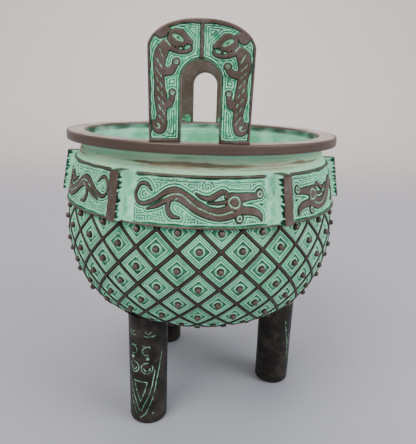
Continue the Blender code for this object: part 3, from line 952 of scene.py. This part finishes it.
# The right-hand beast, in millimetres from the handle's middle and above the rim.
# rounds are its paws and the horn's end, which has no ring.
beast = {
    "bands": {
        "backAndTail": [
            (15.0, 41.0, 1.9), (17.0, 38.2, 2.8), (18.0, 33.5, 2.5), (18.1, 29.0, 2.15), (17.8, 24.3, 2.2),
            (17.5, 20.0, 2.6), (17.0, 16.2, 2.4), (16.8, 12.4, 2.1), (17.1, 9.0, 2.5), (17.9, 5.8, 2.2),
            (20.0, 6.2, 1.1), (20.6, 9.0, 0.6)],
        "foreLeg": [(16.4, 30.0, 2.0), (13.4, 30.5, 1.6), (11.5, 32.4, 1.25), (10.7, 34.2, 0.95)],
        "hindLeg": [(16.4, 16.6, 2.2), (14.0, 16.8, 1.7), (12.6, 18.6, 1.25), (12.3, 20.8, 0.95)],
        "jaw": [
            (13.8, 40.6, 1.4), (12.0, 39.3, 0.9), (9.6, 38.6, 0.7), (7.2, 38.5, 0.75), (5.0, 39.0, 0.7),
            (4.2, 40.2, 0.4)],
        "backTooth": [(10.8, 41.0, 0.7), (10.3, 39.6, 0.3)],
        "frontTooth": [(7.8, 41.2, 0.6), (7.6, 39.8, 0.3)],
        "horn": [(17.2, 46.2, 2.0), (14.2, 46.8, 1.1)],
    },
    "rounds": [(10.6, 34.4, 1.6, 0.65), (12.2, 21.6, 1.5, 0.6), (17.0, 46.2, 2.7, None)],
    "head": [
        (14.8, 41.6), (13.8, 45.8), (11.4, 47.3), (8.2, 47.0), (6.0, 44.8), (3.9, 42.6), (4.2, 41.3),
        (6.3, 41.8), (7.3, 40.9), (9.6, 40.6), (11.6, 40.7)],
    "eye": (10.2, 43.9),
    "neckLine": [(16.4, 43.8), (14.6, 42.2), (13.4, 40.6)],
    "tailCurl": (18.6, 7.4),
    "stripes": 17,
    "stripesFrom": 38.6,
    "stripePitch": 1.95,
}


# The handle's outer and inner outlines at matching steps, from its left foot over to its right foot.
def handleEdges():
    v = handle
    turn = np.linspace(math.pi, 0.0, 400)
    wide, arch = v["halfWidth"], v["archHalfWidth"]
    arcX = (wide + v["flare"]) * np.sign(np.cos(turn)) * np.abs(np.cos(turn)) ** (2 / v["powerOut"])
    arcZ = v["height"] - v["shoulder"] + v["shoulder"] * np.abs(np.sin(turn)) ** (2 / v["powerUp"])
    archX, archZ = arch * np.cos(turn), v["archHeight"] - arch + arch * np.sin(turn)
    keys = np.linspace(0.0, 1.0, v["along"] + 1)
    made = []
    for foot, x, z in ((wide, arcX, arcZ), (arch, archX, archZ)):
        line = np.vstack([[(-foot, -v["root"])], pointsOf(x, z), [(foot, -v["root"])]])
        steps = np.concatenate([[0.0], np.cumsum(np.linalg.norm(np.diff(line, axis=0), axis=1))])
        made.append(pointsOf(*(np.interp(keys * steps[-1], steps, line[:, k]) for k in (0, 1))))
    return made


# Distance outside a beast, distance from its inner light lines, and its eye, which is 1 at the eye's edge.
def beastMasks(p, lowered):
    v = beast
    shift = lowered * smooth(p[..., 1], 26.0, 36.0)
    x, y = p[..., 0] - 0.9 * shift, p[..., 1] + 1.5 * shift
    q = pointsOf(x, y)
    solids, lines = figureParts(q, v)
    solids.append(polygonDistance(q, v["head"]) - 0.15)
    eyeX, eyeY = v["eye"]
    leaf = np.hypot((x - eyeX) / 2.7, (y - eyeY - 0.4 * (x - eyeX)) / 1.3)
    lines += [distanceTo(q, v["neckLine"]), roundSpiral(q, v["tailCurl"], 1.6, 1.7, -1.0)]
    spine = np.array(v["bands"]["backAndTail"])[:10]
    for k in range(v["stripes"]):
        z = v["stripesFrom"] - v["stripePitch"] * k
        middle = np.interp(-z, -spine[:, 1], spine[:, 0]) + 0.8 * (-1) ** k
        lines.append(distanceTo(q, [(middle + 0.5, z + 0.9), (middle - 0.4, z - 0.8)]) + 0.04)
    return np.minimum.reduce(solids), np.minimum.reduce(lines), leaf


# Rise and masks of a handle's outer face, given the distances in from its outer edge and from its arch.
def faceRelief(p, outerGap, innerGap):
    v = handle
    bent = handDrawn(p, 0.16, 5.0, 3, 8)
    x, y = bent[..., 0], bent[..., 1]
    left, right = beastMasks(pointsOf(-x, y), 0.0), beastMasks(bent, 1.0)
    outside, inner, leaf = [np.where(x < 0, *pair) for pair in zip(left, right)]
    eye = (1.0 - smooth(leaf, 0.8, 1.0)) * smooth(leaf, 0.22, 0.36)
    bar = np.where(y > v["barFrom"], np.abs(x) - v["barHalf"], far)
    ragged = unevenness(layer(bent, 5), 2.4)
    border = outerGap - v["border"] - 0.9 * smooth(y, 45.0, 50.0) - 0.18 * ragged
    solid = np.minimum.reduce([outside, bar, border, y - v["footStrip"]])
    body = 1.0 - smooth(solid, -0.14, 0.14)
    groove = np.maximum(bump(inner, 0.0, 0.42) * (outside < 0.1), eye)
    contour = np.minimum(solid, innerGap - 0.9)
    phase = (contour - 0.52) / v["linePitch"]
    lines = np.abs(phase - np.round(phase)) * v["linePitch"]
    breaks = smooth(unevenness(layer(bent, 1), 1.7), -0.7, -0.2)
    light = (1.0 - smooth(lines, 0.10, 0.34)) * (0.2 + 0.8 * breaks)
    dark = smooth(lines, 0.30, 0.48)
    archEdge = 1.0 - smooth(innerGap, 0.40, 0.62)
    archGroove = bump(innerGap, 0.85, 0.32)
    rise = (0.20 * light - 0.16 * dark) * (1 - body) + body * (v["beastRise"] - 0.42 * groove)
    rise = np.where(archEdge > 0.5, 0.34, rise) - 0.35 * archGroove * (1 - body)
    pale = np.clip(light * (1 - body) + (0.85 - 0.6 * eye) * groove * body, 0, 1)
    # painted shade in the ground's lines, in the groove along the arch and round the beasts
    deep = np.clip(dark * (1 - body) + archGroove + 1.2 * bump(solid, 0.16, 0.40) * (1 - body), 0, 1)
    return rise, np.maximum(body * (1 - groove), archEdge), pale * (1 - archEdge) * (1 - archGroove), deep


def buildHandle(name, side):
    v = handle
    outer, inner = handleEdges()
    towards = outer - inner
    away = towards / np.linalg.norm(towards, axis=1)[:, None]
    half, edge = v["thickness"] / 2, v["edge"]
    share = np.linspace(0.0, 1.0, v["across"] + 1)[:, None]
    start, end = inner + away * v["faceSink"], outer - away * edge
    face = start[:, None] + (end - start)[:, None] * share
    rise, *shares = faceRelief(face, distanceTo(face, outer), distanceTo(face, inner))
    grid = [layer(face, half - v["groundDepth"] - v["faceSink"] + rise)]
    masks = [np.stack(shares, -1)]

    # One more line of the loop round the plate: an outline moved in, at a depth.
    def strip(line, depth, inwards, mask):
        grid.append(layer(line + away * inwards, depth)[:, None])
        masks.append(np.tile(np.array(mask, float), (len(line), 1, 1)))

    for depth, inwards in ((half - 0.12, -0.32), (half - 0.42, -0.08), (half - edge - 0.2, 0.0)):
        strip(outer, depth, inwards, (1, 0, 0))
    for depth in np.linspace(half - 1.4, -half + 1.4, 5):
        strip(outer, depth, 0.0, (0.95, 0, 0))
    for depth, inwards in ((-half + edge, 0.0), (-half + 0.2, -0.2), (-half, -edge)):
        strip(outer, depth, inwards, (0.9, 0, 0))
    for t in np.linspace(0.15, 0.85, 8):
        moved = outer + (inner - outer) * t
        strip(moved, -half, 0.0, (0.85, 0, 0))
        masks[-1][..., 0] -= (0.2 + 0.45 * t) * (1.0 - smooth(moved[:, 1:], 2.5, 10.0))
    for depth, inwards in ((-half, edge), (-half + 0.2, 0.2), (-half + edge, 0.0)):
        strip(inner, depth, inwards, (0.9, 0, 0))
    for depth in np.linspace(-half + 1.4, half - 1.4, 5):
        strip(inner, depth, 0.0, (0.9, 0.0, 0.1))
        masks[-1][..., 0] -= 0.65 * (1.0 - smooth(inner[:, 1:], 3.0, 13.0))
    for depth, inwards in ((half - edge, 0.0), (half - 0.25, 0.10)):
        strip(inner, depth, inwards, (1, 0, 0))
    loop = closed(np.concatenate(grid, axis=1))
    mask = closed(np.concatenate(masks, axis=1))
    footShade = 1.0 - smooth(loop[..., 1], 0.0, 1.2)
    face = vessel["rimRadius"] - v["inset"] - half
    placed = pointsOf(-side * loop[..., 0], side * (face + loop[..., 2]), vessel["rimHeight"] + loop[..., 1])
    relief = Relief()
    relief.addGrid(rotate(placed, math.radians(v["turn"])), flip=True, bronze=mask[..., 0], pale=mask[..., 1],
                   deep=np.maximum(mask[..., 2], 0.6 * footShade))
    relief.build(name, reliefFinish)


buildHandle("handle_front", -1)
buildHandle("handle_back", 1)


# Legs: round, worn at the foot, with an engraved mask and blade on the outer side
legs = {
    "circle": 52.4,
    "top": 70.0,
    "topRadius": 11.35,
    "footRadius": 10.85,
    "first": -32.5,
    "worn": 1.8,
    "root": 1.2,
    "columns": 180,
    "rowStep": 0.42,
    "lineHalf": 0.20,
    "lineDepth": 0.28,
    "faintDepth": 0.10,
    "patternRadius": 11.1,
    # engraved lines, in millimetres round from the blade's middle and above the foot
    "lines": [
        [(13.4, 47.2), (11.2, 35.0), (9.8, 29.7), (8.2, 20.2), (5.7, 12.8), (3.2, 7.5), (0.0, 4.2)],
        [(8.9, 36.0), (7.4, 27.1), (5.4, 20.2), (0.5, 8.9)],
        [(0.0, 28.7), (4.4, 28.7), (1.4, 18.6), (0.0, 15.4)],
        [(2.6, 58.2), (5.4, 57.7), (9.4, 58.4)],
        [(2.4, 52.0), (3.4, 51.2), (5.6, 51.8), (6.4, 50.4)],
    ],
    "eye": (4.1, 37.7),
    # how far the pattern is turned from each leg's outermost line, in degrees
    "patternTurns": {"leg_front_left": 13.0, "leg_right": 10.0, "leg_back_left": 0.0},
}


# Distance from the engraved lines.
def legLines(a, z):
    v = legs
    a = np.abs(a)
    p = pointsOf(a, z)
    gaps = [distanceTo(p, line) for line in v["lines"]]
    up = z - v["eye"][1]
    turn = np.arctan2(up, a - v["eye"][0])
    gaps.append(np.where((turn > 0.6) & (turn < 1.2), far, ring(p, v["eye"], 3.4)))
    gaps.append(np.where(up > 0.4, far, ring(p, v["eye"], 1.8)))
    gaps.append(np.where(a > 5.2, far, ring(p, (4.2, 48.6), 2.5)))
    gaps.append(np.where(z > 61.2, far, ring(p, (4.9, 60.9), 1.3)))
    dots = np.minimum(disc(p, (4.8, 43.9), 0.75), disc(p, (7.6, 7.6), 0.3))
    return np.minimum.reduce(gaps + [np.maximum(dots, 0.0)])


def buildLeg(name, azimuth, patternTurn):
    v = legs
    foot, worn = v["footRadius"], v["worn"]
    angles = np.linspace(0.0, math.tau, v["columns"] + 1)
    rows = [(0.0, 0.0), (0.0, foot * 0.5), (0.0, foot - worn)]
    for turn in np.linspace(0.2, 1.0, 6) * math.pi / 2:
        rows.append((worn * (1 - math.cos(turn)), foot - worn * (1 - math.sin(turn))))
    for z in np.arange(worn + 0.2, v["top"], v["rowStep"]):
        rows.append((z, foot + (v["topRadius"] - foot) * z / v["top"]))
    z, radius = np.array(rows).T[..., None] + 0 * angles
    middle = azimuth + patternTurn
    a = ((angles - middle + math.pi) % math.tau - math.pi) * v["patternRadius"] + 0 * z
    gap = legLines(a + 0.15 * wobble(pointsOf(a, z, 0), 5.0), z)
    cut = 1.0 - smooth(gap, v["lineHalf"] - 0.12, v["lineHalf"] + 0.22)
    cut = cut * (radius > foot - 0.3)
    fine = squareSpirals(pointsOf(a, z), 5.0, 5.0, 1.1)
    inField = (np.abs(a) < 12.5) & (z > 30.0) & (z < 58.0) & (gap > 1.0)
    faint = (1.0 - smooth(fine, 0.10, 0.32)) * inField
    radius = radius - v["lineDepth"] * cut - v["faintDepth"] * faint
    radius = radius + 0.05 * unevenness(pointsOf(a, z, azimuth * 9), 9.0) * (z > 0.5)
    points = around(radius, angles, z) + around(v["circle"], azimuth, 0.0)
    reach = np.hypot(points[..., 0], points[..., 1])
    ceiling = np.interp(reach, bowlRadius[::-1], bowlHeight[::-1]) + v["root"]
    points[..., 2] = np.minimum(points[..., 2], ceiling)
    patches = smooth(unevenness(pointsOf(a, z, 50), 14.0), -0.4, 0.5)
    broken = smooth(unevenness(pointsOf(a, z, 20), 2.2), -1.3, -0.5)
    jointShade = 0.35 * (1.0 - smooth(ceiling - v["root"] - z, 0.0, 1.0))
    relief = Relief()
    # painted shade in the faint spirals and where the leg meets the bowl
    relief.addGrid(points, bronze=1.0 - cut * (0.72 + 0.25 * broken) - 0.1 * faint,
                   pale=cut * (0.3 + 0.7 * broken) * (0.2 + 0.6 * patches),
                   deep=np.clip(0.3 * faint + jointShade, 0, 1))
    relief.build(name, legFinish)


for index, (name, patternTurn) in enumerate(legs["patternTurns"].items()):
    azimuth = math.radians(legs["first"]) + math.tau * index / len(legs["patternTurns"])
    buildLeg(name, azimuth, math.radians(patternTurn))


# Studio: pale sweep, soft light and the camera at the photo's angle, in metres
studio = {
    # one grey paper, painted lighter and warmer up the wall: painted light falling on the wall
    "floorColour": (166, 166, 174),
    "wallLitColour": (224, 217, 212),
    "paperRoughness": 0.75,
    "litFade": (0.35, 1.35),
    "floorDepth": 0.9,
    "halfWidth": 3.0,
    "sweepRadius": 0.5,
    "wallHeight": 2.2,
    # name, place, what it points at, size, energy, colour
    "lights": [
        ("key", (-0.55, -0.75, 1.25), (0.0, 0.0, 0.10), 0.9, 16.0, (1.0, 0.98, 0.95)),
        ("fill", (0.95, -0.45, 0.75), (0.0, 0.0, 0.10), 0.8, 9.5, (0.95, 0.97, 1.0)),
        ("wall", (0.0, 0.35, 1.5), (0.0, 1.4, 0.55), 1.2, 15.0, (1.0, 0.95, 0.90)),
    ],
    "worldColour": (212, 213, 220),
    "worldStrength": 0.80,
    "cameraDistance": 0.28254,
    "cameraHeight": 0.19008,
    "yaw": 0.0179,
    "pitchDown": 0.2786,
    "roll": 0.0321,
    "focalPixels": 459.5,
    "imageHeight": 444,
    "sensor": 36.0,
}


def buildSweep():
    v = studio
    depth, radius = v["floorDepth"], v["sweepRadius"]
    turn = np.linspace(0.0, math.pi / 2, 24)
    profile = [(-v["halfWidth"], 0.0)]
    profile += [(depth + radius * math.sin(t), radius * (1 - math.cos(t))) for t in turn]
    profile.append((depth + radius, v["wallHeight"]))
    points = [(x, y, z) for y, z in profile for x in (-v["halfWidth"], v["halfWidth"])]
    faces = [(2 * k, 2 * k + 1, 2 * k + 3, 2 * k + 2) for k in range(len(profile) - 1)]
    mesh = bpy.data.meshes.new("studio_sweep")
    mesh.from_pydata(points, [], faces)
    mesh.shade_smooth()
    material = bpy.data.materials.new("studio_paper")
    material.use_nodes = True
    n = Nodes(material.node_tree)
    shader = material.node_tree.nodes["Principled BSDF"]
    place = n.add("ShaderNodeSeparateXYZ")
    n.link(n.add("ShaderNodeTexCoord").outputs["Object"], place.inputs[0])
    # painted light: the paper fades from the floor's colour to a lighter, warmer wall
    litFade = n.step(place.outputs["Y"], *v["litFade"])
    n.link(n.mix(litFade, linear(v["floorColour"]), linear(v["wallLitColour"])), shader.inputs["Base Color"])
    shader.inputs["Roughness"].default_value = v["paperRoughness"]
    mesh.materials.append(material)
    newObject("studio_sweep", mesh)


def areaLight(name, location, target, size, energy, colour):
    light = bpy.data.lights.new(name, "AREA")
    light.shape = "DISK"
    light.size = size
    light.energy = energy
    light.color = colour
    lamp = newObject(name, light)
    lamp.location = location
    lamp.rotation_euler = (Vector(target) - Vector(location)).to_track_quat("-Z", "Y").to_euler()


def buildCamera():
    v = studio
    across = Vector((math.cos(v["yaw"]), -math.sin(v["yaw"]), 0.0))
    ahead = Vector((math.sin(v["yaw"]), math.cos(v["yaw"]), 0.0))
    up = Vector((0.0, 0.0, 1.0))
    view = ahead * math.cos(v["pitchDown"]) - up * math.sin(v["pitchDown"])
    upright = ahead * math.sin(v["pitchDown"]) + up * math.cos(v["pitchDown"])
    right = across * math.cos(v["roll"]) + upright * math.sin(v["roll"])
    top = -across * math.sin(v["roll"]) + upright * math.cos(v["roll"])
    turn = Matrix((right, top, -view)).transposed()
    data = bpy.data.cameras.new("photo_view")
    data.sensor_width = v["sensor"]
    data.lens = v["focalPixels"] * v["sensor"] / v["imageHeight"]
    data.clip_start = 0.01
    camera = newObject("photo_view", data)
    camera.matrix_world = Matrix.Translation((0.0, -v["cameraDistance"], v["cameraHeight"])) @ turn.to_4x4()
    bpy.context.scene.camera = camera


def buildWorld():
    world = bpy.data.worlds.new("studio_air")
    bpy.context.scene.world = world
    world.use_nodes = True
    background = world.node_tree.nodes["Background"]
    background.inputs["Color"].default_value = linear(studio["worldColour"])
    background.inputs["Strength"].default_value = studio["worldStrength"]


buildSweep()
for light in studio["lights"]:
    areaLight(*light)
buildWorld()
buildCamera()
print("stage: studio and camera")
